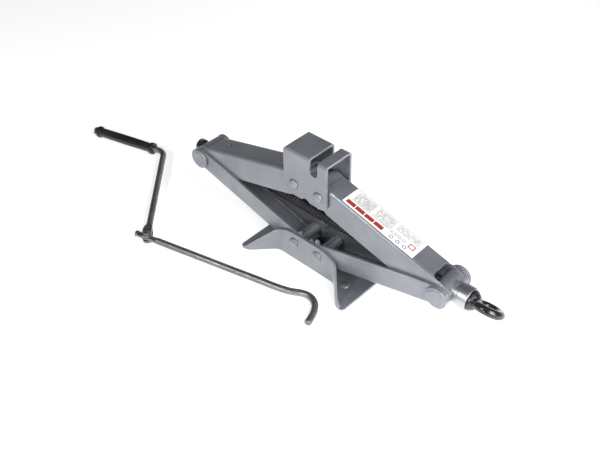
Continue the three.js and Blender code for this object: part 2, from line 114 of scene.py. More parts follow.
def prism(points, axis, low, high, name="tool"):
    """Solid pushed along an axis from a flat outline, which is drawn in the two other axes."""
    order = AXIS_ORDER[axis]
    build = bmesh.new()
    ends = []
    for station in (low, high):
        corners = [(u, v, station) for u, v in points]
        ends.append([build.verts.new([corner[i] * MM for i in order]) for corner in corners])
    for end in ends:
        build.faces.new(end)
    for i in range(len(points)):
        build.faces.new((ends[0][i - 1], ends[0][i], ends[1][i], ends[1][i - 1]))
    return shaped(name, build)


def turned(profile, axis, centre=(0, 0, 0), around=64, name="tool"):
    """Solid turned about an axis through a centre, from (radius, station) points."""
    order = AXIS_ORDER[axis]
    closed = profile[0] == profile[-1]
    build = bmesh.new()
    rings = []
    for radius, station in profile[:-1] if closed else profile:
        count = 1 if radius == 0 else around
        ring = []
        for k in range(count):
            angle = 2 * math.pi * k / around
            corner = (radius * math.cos(angle), radius * math.sin(angle), station)
            ring.append(build.verts.new([(corner[order[i]] + centre[i]) * MM for i in range(3)]))
        rings.append(ring)
    following = rings[1:] + rings[:1] if closed else rings[1:]
    for one, two in zip(rings, following):
        for k in range(around):
            after = k + 1
            corners = [one[k % len(one)], one[after % len(one)], two[after % len(two)], two[k % len(two)]]
            kept = [c for i, c in enumerate(corners) if c not in corners[:i]]
            if len(kept) > 2:
                build.faces.new(kept)
    return shaped(name, build)


def bar(radius, axis, centre=(0, 0, 0), around=40, low=-BEYOND, high=BEYOND):
    """Plain round bar about an axis through a centre, mostly used as a drill."""
    return turned([(0, low), (radius, low), (radius, high), (0, high)], axis, centre, around)


def tube(name, inner, outer, low, high, axis, centre=(0, 0, 0), around=64):
    """Plain tube about an axis through a centre, between two stations."""
    section = [(inner, low), (outer, low), (outer, high), (inner, high), (inner, low)]
    return turned(section, axis, centre, around, name)


def settled(piece):
    """The piece with its modifiers applied."""
    bpy.context.view_layer.update()
    seen = piece.evaluated_get(bpy.context.evaluated_depsgraph_get())
    final = bpy.data.meshes.new_from_object(seen)
    piece.modifiers.clear()
    piece.data = final
    return piece


def worked(body, *tools, how="DIFFERENCE"):
    """The body cut by, joined to or kept within the tools, which are used up."""
    for tool in tools:
        step = body.modifiers.new("work", "BOOLEAN")
        step.operation = how
        step.solver = "EXACT"
        step.object = tool
        settled(body)
        bpy.data.objects.remove(tool)
    return body


def eased(piece, edge, corner=32, segments=2):
    """The piece with its cut edges eased, and shading that keeps its flats flat."""
    build = bmesh.new()
    build.from_mesh(piece.data)
    bmesh.ops.remove_doubles(build, verts=build.verts, dist=0.01 * MM)
    bmesh.ops.dissolve_limit(build, angle_limit=math.radians(0.5), verts=build.verts, edges=build.edges)
    build.to_mesh(piece.data)
    build.free()
    piece.data.shade_smooth()
    bevel = piece.modifiers.new("edge", "BEVEL")
    bevel.width = edge * MM
    bevel.segments = segments
    bevel.limit_method = "ANGLE"
    bevel.angle_limit = math.radians(corner)
    flats = piece.modifiers.new("flats", "WEIGHTED_NORMAL")
    flats.keep_sharp = False
    return settled(piece)


def foot_plan(inset, end, corner):
    """Plan of the pan, inset from its edge: a narrow waist that flares to the toes."""
    toe, waist = foot_high.y - inset, FOOT_WAIST - inset
    half = [(end, toe, corner), (65 + inset / 2, toe, 14), (40 + inset / 2, waist, 12),
            (-40 - inset / 2, waist, 12), (-65 - inset / 2, toe, 14), (-end, toe, corner)]
    return rounded(half + [(-x, -y, radius) for x, y, radius in half])


def pin_holes(radius, height):
    """Drills for the two pins across the foot or the saddle."""
    return [bar(radius, "y", (x, 0, height)) for x in (-PIN_X, PIN_X)]


foot_end = foot_high.x
wall_fall = rounded([
    (-foot_end - 1, -1, 0), (foot_end + 1, -1, 0), (foot_end + 1, SHEET, 0), (foot_end - 5, SHEET, 2),
    (42, 28, 14), (24, foot_high.z, 30), (-24, foot_high.z, 30), (-42, 28, 14),
    (-foot_end + 5, SHEET, 2), (-foot_end - 1, SHEET, 0)])
foot_pan = prism(foot_plan(0, foot_end, 4), "z", 0, foot_high.z, "foot")
worked(foot_pan, prism(foot_plan(SHEET, foot_end + BEYOND, 0), "z", SHEET, BEYOND))
worked(foot_pan, prism(wall_fall, "y", -BEYOND, BEYOND), how="INTERSECT")
dimple = [(0, SHEET / 2), (DIMPLE, SHEET / 2), (DIMPLE, SHEET)]
for k in range(1, 6):
    rise = k * math.pi / 12
    dimple.append((DIMPLE * math.cos(rise), SHEET + DIMPLE_RISE * math.sin(rise)))
dimple.append((0, SHEET + DIMPLE_RISE))
dimple_places = [(x, y, 0) for x in (-DIMPLE_X, DIMPLE_X) for y in (-DIMPLE_Y, DIMPLE_Y)]
worked(foot_pan, *[turned(dimple, "z", place, 32) for place in dimple_places], how="UNION")
worked(foot_pan, *pin_holes(SHANK + 0.3, FOOT_PIN_Z))
eased(foot_pan, 0.7)


def colour_node(nodes, links, low, high, scale, detail=3, stretch=(1, 1, 1)):
    """Noise on the piece's own coordinates, mapped between two values or two colours."""
    place = nodes.new("ShaderNodeTexCoord")
    mapping = nodes.new("ShaderNodeMapping")
    mapping.inputs["Scale"].default_value = stretch
    noise = nodes.new("ShaderNodeTexNoise")
    noise.inputs["Scale"].default_value = scale
    noise.inputs["Detail"].default_value = detail
    ramp = nodes.new("ShaderNodeValToRGB")
    for stop, position, value in zip(ramp.color_ramp.elements, (0.35, 0.65), (low, high)):
        stop.position = position
        stop.color = value if isinstance(value, tuple) else (value, value, value, 1)
    links.new(place.outputs["Object"], mapping.inputs["Vector"])
    links.new(mapping.outputs["Vector"], noise.inputs["Vector"])
    links.new(noise.outputs["Fac"], ramp.inputs["Fac"])
    return ramp.outputs["Color"]


def vary(nodes, links, socket, *noise):
    """Feeds one of the shader's sockets from noise."""
    links.new(colour_node(nodes, links, *noise), socket)


def mixed(nodes, links, under, colour, share):
    """Colour laid over another one, by a share from 0 to 1."""
    mix = nodes.new("ShaderNodeMix")
    mix.data_type = "RGBA"
    mix.inputs["B"].default_value = colour
    links.new(under, mix.inputs["A"])
    links.new(share, mix.inputs["Factor"])
    return mix.outputs["Result"]


def number_maker(nodes, links):
    """Function that adds a math node, whose items are numbers or the values of other nodes."""
    def number(kind, *items):
        node = nodes.new("ShaderNodeMath")
        node.operation = kind
        for index, item in enumerate(items):
            if isinstance(item, (int, float)):
                node.inputs[index].default_value = item
            else:
                links.new(item, node.inputs[index])
        return node.outputs["Value"]

    return number


def new_finish(name, **values):
    """New material with its shader's plain values, and its nodes, its links and its shader."""
    material = bpy.data.materials.new(name)
    material.use_nodes = True
    nodes, links = material.node_tree.nodes, material.node_tree.links
    shader = nodes["Principled BSDF"]
    for socket, value in values.items():
        shader.inputs[socket.replace("_", " ")].default_value = value
    return material, nodes, links, shader


def add_bump(nodes, links, shader, scale, depth, detail=2, stretch=(1, 1, 1)):
    """Fine relief from noise, with its depth in millimetres."""
    bump = nodes.new("ShaderNodeBump")
    bump.inputs["Distance"].default_value = depth * MM
    bump.inputs["Strength"].default_value = 1
    vary(nodes, links, bump.inputs["Height"], 0.0, 1.0, scale, detail, stretch)
    links.new(bump.outputs["Normal"], shader.inputs["Normal"])


def edge_mask(nodes, links, radius):
    """1 along sharp edges and 0 on flats, from how far the rounded normal turns."""
    rounded_normal = nodes.new("ShaderNodeBevel")
    rounded_normal.samples = 6
    rounded_normal.inputs["Radius"].default_value = radius * MM
    plain = nodes.new("ShaderNodeNewGeometry")
    alike = nodes.new("ShaderNodeVectorMath")
    alike.operation = "DOT_PRODUCT"
    links.new(rounded_normal.outputs["Normal"], alike.inputs[0])
    links.new(plain.outputs["Normal"], alike.inputs[1])
    spread = nodes.new("ShaderNodeMapRange")
    spread.inputs["From Min"].default_value = 0.985
    spread.inputs["From Max"].default_value = 0.90
    links.new(alike.outputs["Value"], spread.inputs["Value"])
    return spread.outputs["Result"]


def make_jack_paint():
    """Silver-grey metallic spray paint: faint orange peel, soft clouding, and edges lightened, partly as
    worn paint and partly as a painted highlight.
    """
    material, nodes, links, shader = new_finish(
        "silver_grey_paint", Metallic=0.45, Coat_Weight=0.7, Coat_Roughness=0.2)
    clouds = colour_node(nodes, links, (0.195, 0.207, 0.233, 1), (0.235, 0.247, 0.272, 1), 35, 4)
    patches = colour_node(nodes, links, 0.15, 0.75, 160, 2)
    # Lighter colour along sharp edges: partly worn paint, partly a painted highlight along the edges.
    worn_and_highlit = number_maker(nodes, links)("MULTIPLY", edge_mask(nodes, links, 0.9), patches)
    worn_and_highlit_paint = mixed(nodes, links, clouds, (0.62, 0.63, 0.66, 1), worn_and_highlit)
    links.new(worn_and_highlit_paint, shader.inputs["Base Color"])
    vary(nodes, links, shader.inputs["Roughness"], 0.36, 0.46, 90)
    add_bump(nodes, links, shader, 700, 0.02)
    return material


jack_paint = make_jack_paint()


def finish_piece(piece, material, slot, body, *nodes):
    """The piece in its material, riding on its body in place of its CAD nodes."""
    piece.data.materials.clear()
    piece.data.materials.append(material)
    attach(piece, body)
    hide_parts(*nodes)


finish_piece(foot_pan, jack_paint, "jack_paint", "foot", "foot_pan")


# ---------------------------------------------------------------- foot and saddle rivets, and sleeves
# Four steel rivets carry the geared ends of the arms, two in the foot and two in the saddle. They
# are headed cold on both sides. A sleeve rolled from strip, with an open seam, keeps the flanges apart.

pivot = {joint["name"]: Vector(joint["pos_m"]) / MM for joint in frame["joints"] if "pos_m" in joint}
SADDLE_PIN_Z = pivot["saddle_level"].z
PLAY = 0.2
RIVET_HEAD, RIVET_LIP = 5.8, 0.35
SLEEVE = 6.2


def node_tree(name, sockets):
    """Geometry node tree with named inputs, and the values that come in through them."""
    tree = bpy.data.node_groups.new(name, "GeometryNodeTree")
    for label, kind in (("Geometry", "Geometry"), *sockets):
        tree.interface.new_socket(label, in_out="INPUT", socket_type="NodeSocket" + kind)
    tree.interface.new_socket("Geometry", in_out="OUTPUT", socket_type="NodeSocketGeometry")
    return tree, tree.nodes.new("NodeGroupInput").outputs


def end_tree(tree, geometry, finish):
    """Ends a tree by making its instances real and giving them their material."""
    solid = tree.nodes.new("GeometryNodeRealizeInstances")
    painted = tree.nodes.new("GeometryNodeSetMaterial")
    end = tree.nodes.new("NodeGroupOutput")
    tree.links.new(geometry, solid.inputs["Geometry"])
    tree.links.new(solid.outputs["Geometry"], painted.inputs["Geometry"])
    tree.links.new(finish, painted.inputs["Material"])
    tree.links.new(painted.outputs["Geometry"], end.inputs["Geometry"])


def copies_on_points():
    """Nodes that set a copy of one sample piece on every point of a pattern."""
    tree, given = node_tree("rivets_on_points", (("Rivet", "Object"), ("Finish", "Material")))
    source = tree.nodes.new("GeometryNodeObjectInfo")
    copies = tree.nodes.new("GeometryNodeInstanceOnPoints")
    tree.links.new(given["Geometry"], copies.inputs["Points"])
    tree.links.new(given["Rivet"], source.inputs["Object"])
    tree.links.new(source.outputs["Geometry"], copies.inputs["Instance"])
    end_tree(tree, copies.outputs["Instances"], given["Finish"])
    return tree


point_tree = copies_on_points()


def add_nodes(piece, tree, values):
    """Node modifier whose named inputs are set by their sockets' identifiers."""
    modifier = piece.modifiers.new("nodes", "NODES")
    modifier.node_group = tree
    for item in tree.interface.items_tree:
        if item.in_out == "INPUT" and item.name in values:
            modifier[item.identifier] = values[item.name]


def set_on_points(name, points, sample, material):
    """Copies of one sample piece on points, as a plain mesh."""
    pattern = bpy.data.meshes.new(name)
    pattern.from_pydata([Vector(point) * MM for point in points], [], [])
    piece = placed(name, pattern)
    add_nodes(piece, point_tree, {"Rivet": sample, "Finish": material})
    settled(piece)
    bpy.data.objects.remove(sample)
    return piece


def headed_rivet(cheek, height):
    """Rivet about Y: a shank with a low dome over each cheek."""
    half = [(SHANK, cheek + 0.05), (RIVET_HEAD, cheek + 0.05), (RIVET_HEAD + 0.05, cheek + RIVET_LIP)]
    for k in range(1, 10):
        angle = k * math.pi / 20
        rise = (height - RIVET_LIP) * math.sin(angle)
        half.append((RIVET_HEAD * math.cos(angle), cheek + RIVET_LIP + rise))
    half.append((0, cheek + height))
    mirrored = [(radius, -station) for radius, station in reversed(half)]
    rivet = turned(mirrored + half, "y", around=48, name="rivet")
    rivet.data.shade_smooth()
    return rivet


saddle_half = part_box("saddle")[1].y / MM
for level, height, cheek, head in (("foot", FOOT_PIN_Z, FOOT_WAIST, 2.7),
                                   ("saddle", SADDLE_PIN_Z, saddle_half, 3.3)):
    pins = [(side * PIN_X, 0, height) for side in (-1, 1)]
    rivets = set_on_points(level + "_rivets", pins, headed_rivet(cheek, head), jack_paint)
    finish_piece(rivets, jack_paint, "jack_paint", level, level + "_rivet_left", level + "_rivet_right")
    sleeve_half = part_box(level + "_sleeve_left")[1].y / MM
    sleeve = tube("sleeve", SHANK + PLAY, SLEEVE, -sleeve_half, sleeve_half, "y", around=48)
    seam = prism([(-0.35, 3), (0.35, 3), (0.35, 9), (-0.35, 9)], "y", -BEYOND, BEYOND)
    seam.data.transform(Matrix.Rotation(math.radians(12), 4, "Y"))
    worked(sleeve, seam)
    eased(sleeve, 0.4)
    sleeves = set_on_points(level + "_sleeves", pins, sleeve, jack_paint)
    finish_piece(sleeves, jack_paint, "jack_paint", level, level + "_sleeve_left", level + "_sleeve_right")


# ---------------------------------------------------------------- arms
# Each arm is a channel pressed from 2.5 mm steel, with its web away from the screw. Both flanges end
# in gear teeth round the rivet, so the two sides rise together, and in ears round the trunnion.

ARM_LENGTH = (pivot["nut_trunnion_turn"] - foot_pin["lower_left"]).length
REST_ANGLE = math.asin((pivot["nut_trunnion_turn"].z - foot_pin["lower_left"].z) / ARM_LENGTH)
WEB_TOP = 13.5
BEND = 5
UPPER_HALF, LOWER_HALF = 15.2, 18.1
EAR, EAR_HOLE = 11.5, 6.2
TEETH, MODULE, PRESSURE, BACKLASH = 11, 3, math.radians(25), 0.35
BASE, ROOT, TIP = PIN_X * math.cos(PRESSURE), PIN_X - 3.15, PIN_X + 2.35
DRAIN_X, DRAIN = 117, 3.5


def tooth_half_angle(radius):
    """Half of the angle that an involute tooth fills at a radius."""

    def involute(angle):
        return math.tan(angle) - angle

    thick = (math.pi * MODULE / 2 - BACKLASH) / (2 * PIN_X)
    return thick + involute(PRESSURE) - involute(math.acos(min(1, BASE / radius)))


def arm_side(depth, phase):
    """Side view of an arm: web side up, geared end at the origin, trunnion ear at its length."""
    points = []
    pitch = 2 * math.pi / TEETH
    first = math.pi + REST_ANGLE - pitch * (1 - phase)
    radii = (ROOT, BASE, PIN_X - 0.6, PIN_X + 0.6, PIN_X + 1.7, TIP)
    flank = [(radius, tooth_half_angle(max(radius, BASE))) for radius in radii]

    def at(radius, angle):
        return Vector((radius * math.cos(angle), radius * math.sin(angle)))

    angle = math.pi / 2
    for index in range(4):
        centre = first + index * pitch
        start = centre - flank[0][1]
        steps = max(2, round((start - angle) / 0.12))
        points += [at(ROOT, angle + (start - angle) * k / steps) for k in range(steps)]
        points += [at(r, centre - h) for r, h in flank]
        points += [at(r, centre + h) for r, h in reversed(flank)]
        angle = centre + flank[0][1]
    last = points[-1]
    points += rounded([(last.x, last.y, 0), (14, -depth, 8), (ARM_LENGTH - 34, -depth, 20),
                       (ARM_LENGTH, -EAR, 0)])[1:-1]
    points += [at(EAR, math.pi * (k / 24 - 0.5)) + Vector((ARM_LENGTH, 0)) for k in range(25)]
    points += rounded([(ARM_LENGTH, EAR, 0), (ARM_LENGTH - 7, WEB_TOP, 4), (0, WEB_TOP, 0)])[1:]
    return points


def pressed_arm(name, half, depth, notch, phase):
    """Channel in its own frame: X from the geared end to the trunnion, Z towards the web."""
    inside = half - SHEET
    section = rounded([
        (-half, -BEYOND, 0), (-inside, -BEYOND, 0), (-inside, WEB_TOP - SHEET, BEND - SHEET),
        (inside, WEB_TOP - SHEET, BEND - SHEET), (inside, -BEYOND, 0), (half, -BEYOND, 0),
        (half, WEB_TOP, BEND), (-half, WEB_TOP, BEND)])
    arm = prism(arm_side(depth, phase), "y", -half, half, name)
    worked(arm, prism(section, "x", -BEYOND, ARM_LENGTH + BEYOND), how="INTERSECT")
    notch_plan = rounded([
        (ARM_LENGTH - notch, -inside, 5), (ARM_LENGTH + BEYOND, -inside, 0),
        (ARM_LENGTH + BEYOND, inside, 0), (ARM_LENGTH - notch, inside, 5)])
    gear_end = [(-BEYOND, -BEYOND), (4, -BEYOND), (4, BEYOND), (-BEYOND, BEYOND)]
    worked(arm, prism(notch_plan, "z", 0, BEYOND), prism(gear_end, "z", ROOT - 1.5, BEYOND),
           bar(EAR_HOLE, "y", (ARM_LENGTH, 0, 0), 48), bar(SHANK + PLAY, "y"))
    return arm


def arm_place(side, level):
    """Matrix from an arm's own frame to its place. The side is -1 or 1, and the level too."""
    height = FOOT_PIN_Z if level < 0 else SADDLE_PIN_Z
    place = Matrix.Translation(Vector((side * PIN_X, 0, height)) * MM)
    place @= Matrix.Rotation(side * level * REST_ANGLE, 4, "Y")
    if level < 0:
        place @= Matrix.Rotation(math.pi, 4, "X")
    if side < 0:
        place @= Matrix.Rotation(math.pi, 4, "Z")
    return place


for side, side_name in ((-1, "left"), (1, "right")):
    for level, level_name, half, depth, notch in ((-1, "lower", LOWER_HALF, 13, 25),
                                                 (1, "upper", UPPER_HALF, 17, 15)):
        arm = pressed_arm(f"{level_name}_{side_name}_arm", half, depth, notch, 0 if side < 0 else 0.5)
        if level > 0 and side < 0:
            worked(arm, bar(DRAIN, "z", (DRAIN_X, 0, 0), 32, low=0))
        eased(arm, 0.7)
        arm.data.transform(arm_place(side, level))
        finish_piece(arm, jack_paint, "jack_paint", f"{level_name}_{side_name}",
                     f"{level_name}_arm_{side_name}")


# ---------------------------------------------------------------- saddle
# The saddle is folded from the same sheet: a top, two cheeks and one closed end. A slot across it
# takes the flange under a car's sill.

saddle_low, saddle_high = (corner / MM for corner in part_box("saddle"))
SLOT_FROM, SLOT_TO, SLOT_FLOOR = 5.5, 16.5, 125
cheek = saddle_high.y
saddle_side = rounded([
    (saddle_low.x, saddle_high.z, 4), (saddle_low.x, saddle_low.z, 11), (-6, saddle_low.z, 1.5),
    (0, saddle_low.z + 4, 4), (6, saddle_low.z, 1.5), (saddle_high.x, saddle_low.z, 7),
    (saddle_high.x, saddle_high.z, 0)])
saddle = prism(saddle_side, "y", -cheek, cheek, "saddle_head")
outer = rounded([(-cheek, 0, 0), (cheek, 0, 0), (cheek, saddle_high.z, 4), (-cheek, saddle_high.z, 4)])
inner_half = cheek - SHEET
inner = rounded([(-inner_half, 0, 0), (inner_half, 0, 0), (inner_half, saddle_high.z - SHEET, 1.5),
                 (-inner_half, saddle_high.z - SHEET, 1.5)])
open_end = [(saddle_low.x - 9, 0), (saddle_low.x + SHEET + 0.1, 0),
            (saddle_low.x + SHEET + 0.1, 116), (saddle_low.x - 9, 116)]
slot_side = rounded([(SLOT_FROM, SLOT_FLOOR, 4), (SLOT_TO, SLOT_FLOOR, 4), (SLOT_TO, 200, 0),
                     (SLOT_FROM, 200, 0)])
worked(saddle, prism(outer, "x", -BEYOND, BEYOND), how="INTERSECT")
worked(saddle, prism(inner, "x", saddle_low.x + SHEET, BEYOND),
       prism(open_end, "y", -inner_half, inner_half), prism(slot_side, "y", -BEYOND, BEYOND),
       *pin_holes(SHANK + PLAY, SADDLE_PIN_Z))
eased(saddle, 0.7)
finish_piece(saddle, jack_paint, "jack_paint", "saddle", "saddle")


# ---------------------------------------------------------------- trunnions and their disc heads
# A steel barrel lies across each end of the linkage, and both arms of that side turn on its stubs.
# The left one is threaded as the nut, and the right one takes the screw's thrust.

SCREW_Z = pivot["nut_trunnion_turn"].z
SCREW_HOLE = 6.8
STUB, STUB_END, BARREL, BARREL_END = 6, 18.2, 11.5, 12.4
THRUST_BOSS, THRUST_FACE = 10.5, 11.8
head_profile = [(0, 18.3), (11.6, 18.3), (12, 18.7), (12, 20.4), (11.7, 21.1), (11, 21.5), (9.9, 21.6),
                (9.4, 21.8), (9, 22.3), (8.5, 22.5), (0, 22.5)]
for side, side_name, block, node in ((-1, "left", "nut_block", "nut_trunnion"),
                                     (1, "right", "thrust_block", "thrust_trunnion")):
    centre = (side * pivot["thrust_trunnion_turn"].x, 0, SCREW_Z)
    barrel = turned([(0, -STUB_END), (STUB, -STUB_END), (STUB, -BARREL_END), (BARREL, -BARREL_END),
                     (BARREL, BARREL_END), (STUB, BARREL_END), (STUB, STUB_END), (0, STUB_END)],
                    "y", centre, 72, node + "_barrel")
    if side > 0:
        worked(barrel, bar(THRUST_BOSS, "x", centre, 64, 0, THRUST_FACE), how="UNION")
    worked(barrel, bar(SCREW_HOLE, "x", centre, 48))
    eased(barrel, 0.6)
    finish_piece(barrel, jack_paint, "jack_paint", block, node)
    for facing, face_name in ((-1, "front"), (1, "back")):
        profile = [(radius, facing * station) for radius, station in head_profile]
        cap = turned(profile, "y", centre, 72, f"{node}_head_{face_name}")
        eased(cap, 0.15, 50)
        finish_piece(cap, jack_paint, "jack_paint", block, f"trunnion_cap_{side_name}_{face_name}")


# ---------------------------------------------------------------- lead screw
# The screw is 13 mm steel rod with a rolled trapezoidal thread of 4 mm pitch. Its near-black colour is
# partly grease and partly painted shade of the dark gap between the arms. It passes through both trunnions,
# and a pinned ring stops the nut at its far end.

SCREW, THREAD_DEPTH, THREAD_PITCH = 6.5, 1.1, 4.0


def thread_nodes():
    """Nodes that make a threaded rod along X: a rolled-up grid whose radius follows a helix."""
    sizes = [(label, "Float") for label in ("Start", "Length", "Radius", "Depth", "Pitch", "Height")]
    tree, start = node_tree("rolled_thread", (*sizes, ("Steps", "Int"), ("Finish", "Material")))
    math_node = number_maker(tree.nodes, tree.links)
    around = 32
    grid = tree.nodes.new("GeometryNodeMeshGrid")
    grid.inputs["Size X"].default_value = 1
    grid.inputs["Size Y"].default_value = 1
    grid.inputs["Vertices Y"].default_value = around + 1
    tree.links.new(start["Steps"], grid.inputs["Vertices X"])
    position = tree.nodes.new("GeometryNodeInputPosition")
    split = tree.nodes.new("ShaderNodeSeparateXYZ")
    tree.links.new(position.outputs["Position"], split.inputs["Vector"])
    share = math_node("ADD", split.outputs["X"], 0.5)
    turn = math_node("MULTIPLY", split.outputs["Y"], -2 * math.pi)
    along = math_node("ADD", math_node("MULTIPLY", share, start["Length"]), start["Start"])
    turns = math_node("SUBTRACT", math_node("DIVIDE", along, start["Pitch"]), split.outputs["Y"])
    ridge = math_node("PINGPONG", turns, 0.5)
    flank = math_node("MULTIPLY", math_node("SUBTRACT", ridge, 0.14), 1 / 0.2)
    flank = math_node("MINIMUM", math_node("MAXIMUM", flank, 0.0), 1.0)
    core = math_node("SUBTRACT", start["Radius"], start["Depth"])
    radius = math_node("ADD", core, math_node("MULTIPLY", flank, start["Depth"]))
    rise = math_node("MULTIPLY", radius, math_node("SINE", turn))
    joined = tree.nodes.new("ShaderNodeCombineXYZ")
    tree.links.new(along, joined.inputs["X"])
    tree.links.new(math_node("MULTIPLY", radius, math_node("COSINE", turn)), joined.inputs["Y"])
    tree.links.new(math_node("ADD", rise, start["Height"]), joined.inputs["Z"])
    move = tree.nodes.new("GeometryNodeSetPosition")
    tree.links.new(grid.outputs["Mesh"], move.inputs["Geometry"])
    tree.links.new(joined.outputs["Vector"], move.inputs["Position"])
    seam = tree.nodes.new("GeometryNodeMergeByDistance")
    seam.inputs["Distance"].default_value = 0.00001
    tree.links.new(move.outputs["Geometry"], seam.inputs["Geometry"])
    end_tree(tree, seam.outputs["Geometry"], start["Finish"])
    return tree


def make_greased_and_shaded_steel():
    """Rolled steel with an uneven film of grease, shinier where the film is thick; its near-black colour is
    partly grease and partly painted shade of the gap between the arms.
    """
    material, nodes, links, shader = new_finish("greased_and_shaded_screw_steel", Metallic=0.3)
    # Near-black base colour: partly grease, partly painted shade of the dark gap between the arms.
    vary(nodes, links, shader.inputs["Base Color"], (0.004, 0.004, 0.005, 1), (0.02, 0.019, 0.018, 1), 60, 5)
    vary(nodes, links, shader.inputs["Roughness"], 0.28, 0.6, 45, 4)
    add_bump(nodes, links, shader, 260, 0.03, 4)
    return material


def cap_ends(piece):
    """Closes the open ends of a tube with flat faces."""
    build = bmesh.new()
    build.from_mesh(piece.data)
    bmesh.ops.remove_doubles(build, verts=build.verts, dist=0.005 * MM)
    bmesh.ops.holes_fill(build, edges=[e for e in build.edges if e.is_boundary], sides=0)
    bmesh.ops.recalc_face_normals(build, faces=build.faces)
    build.to_mesh(piece.data)
    build.free()


greased_and_shaded_steel = make_greased_and_shaded_steel()
screw_low, screw_high = (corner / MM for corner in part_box("lead_screw"))
screw = placed("threaded_screw", bpy.data.meshes.new("threaded_screw"))
add_nodes(screw, thread_nodes(), {
    "Start": screw_low.x * MM, "Length": (screw_high.x - screw_low.x) * MM, "Radius": SCREW * MM,
    "Depth": THREAD_DEPTH * MM, "Pitch": THREAD_PITCH * MM, "Height": SCREW_Z * MM, "Steps": 900,
    "Finish": greased_and_shaded_steel})
settled(screw)
cap_ends(screw)
screw.data.shade_smooth()
finish_piece(screw, greased_and_shaded_steel, "greased_screw", "screw", "lead_screw")


# ---------------------------------------------------------------- stop ring and its pin
# A short steel ring sits on the screw's far end, blackened like the forgings, and a spring pin
# through ring and screw keeps it there.

STOP, STOP_HOLE = 7.8, 6.7
SPRING_PIN, SPRING_PIN_BORE, SPRING_PIN_END = 1.5, 0.7, 7.7


def make_black_finish():
    """Glossy black paint over a forging: a soft uneven skin with rubbed, greyer high spots."""
    material, nodes, links, shader = new_finish(
        "glossy_black_paint", Metallic=0.1, Coat_Weight=0.5, Coat_Roughness=0.12)
    clouds = colour_node(nodes, links, (0.008, 0.008, 0.009, 1), (0.018, 0.018, 0.02, 1), 80, 4)
    rubbed = mixed(nodes, links, clouds, (0.09, 0.09, 0.095, 1), edge_mask(nodes, links, 0.8))
    links.new(rubbed, shader.inputs["Base Color"])
    vary(nodes, links, shader.inputs["Roughness"], 0.16, 0.34, 120)
    add_bump(nodes, links, shader, 220, 0.12, 3)
    return material


def make_bright_steel():
    """Turned bright steel: fine rings of tool marks round X, with slightly duller bands."""
    material, nodes, links, shader = new_finish("turned_bright_steel", Metallic=1)
    vary(nodes, links, shader.inputs["Base Color"], (0.40, 0.41, 0.43, 1), (0.52, 0.53, 0.55, 1), 50)
    vary(nodes, links, shader.inputs["Roughness"], 0.36, 0.46, 500, 2, (1, 0.03, 0.03))
    add_bump(nodes, links, shader, 900, 0.004, 1, (1, 0.02, 0.02))
    return material


black_finish = make_black_finish()
bright_steel = make_bright_steel()
stop_low, stop_high = (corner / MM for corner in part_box("screw_stop"))
on_screw = (0, 0, SCREW_Z)
stop_middle = ((stop_low.x + stop_high.x) / 2, 0, SCREW_Z)
stop = tube("stop_ring", STOP_HOLE, STOP, stop_low.x, stop_high.x, "x", on_screw)
worked(stop, bar(SPRING_PIN + 0.1, "z", stop_middle, 24))
eased(stop, 0.5)
finish_piece(stop, black_finish, "black_finish", "screw", "screw_stop")
spring_pin = tube("spring_pin", SPRING_PIN_BORE, SPRING_PIN, -SPRING_PIN_END, SPRING_PIN_END, "z",
                  stop_middle, 32)
eased(spring_pin, 0.2)
finish_piece(spring_pin, bright_steel, "bright_steel", "screw", "stop_pin")


# ---------------------------------------------------------------- thrust washer and collar
# A hard washer bears on the right trunnion. The collar behind it is turned from bright bar, and is
# pressed onto the screw.

WASHER, COLLAR = 11, 12
washer_low, washer_high = (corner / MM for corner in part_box("thrust_washer"))
washer = tube("bearing_washer", SCREW_HOLE, WASHER, washer_low.x, washer_high.x, "x", on_screw, 72)
eased(washer, 0.35)
finish_piece(washer, bright_steel, "bright_steel", "thrust_block", "thrust_washer")

collar_low, collar_high = (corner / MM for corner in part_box("thrust_collar"))
collar = tube("bright_collar", SCREW_HOLE, COLLAR, collar_low.x, collar_high.x, "x", on_screw, 96)
eased(collar, 0.7)
finish_piece(collar, bright_steel, "bright_steel", "screw", "thrust_collar")


# ---------------------------------------------------------------- ring eye
# The eye that the crank hooks into is forged in one piece with its neck, so the two run together in
# a soft fillet. It is painted black.

eye_low, eye_high = (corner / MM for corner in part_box("drive_eye"))
EYE_WIRE, EYE_RING, EYE_TILT = 4.4, 12, math.radians(-38)
eye_x = eye_high.x - EYE_WIRE - EYE_RING
neck = [(0, 0), (10.2, 0), (10.5, 0.4), (10.5, 2.6), (9, 3.4), (8.6, 5), (5.5, 7.7), (0, 7.7)]
eye = turned([(radius, eye_low.x + along) for radius, along in neck], "x", on_screw, 72, "forged_eye")
wire = []
for k in range(24):
    angle = k * math.pi / 12
    wire.append((EYE_RING + EYE_WIRE * math.cos(angle), EYE_WIRE * math.sin(angle)))
loop = turned(wire + wire[:1], "z", around=96)
eye_place = Matrix.Translation(Vector((eye_x, 0, SCREW_Z)) * MM) @ Matrix.Rotation(EYE_TILT, 4, "X")
loop.data.transform(eye_place)
worked(eye, loop, how="UNION")
skin = eye.modifiers.new("skin", "REMESH")
skin.mode = "VOXEL"
skin.voxel_size = 0.45 * MM
soft = eye.modifiers.new("soft", "SMOOTH")
soft.factor = 0.5
soft.iterations = 6
settled(eye)
eye.data.shade_smooth()
finish_piece(eye, black_finish, "black_finish", "screw", "drive_eye")


# ---------------------------------------------------------------- sticker
# A white vinyl sticker is stuck over the right upper arm's web and bends. Its print is generic: four
# red blocks along one edge, patches of short grey bars, three small rings and a red frame.

STICKER_FROM, STICKER_TO, STICKER_HALF = 23.8, 113.8, 12.2
FILM_UNDER, FILM_OVER = 0.03, 0.18


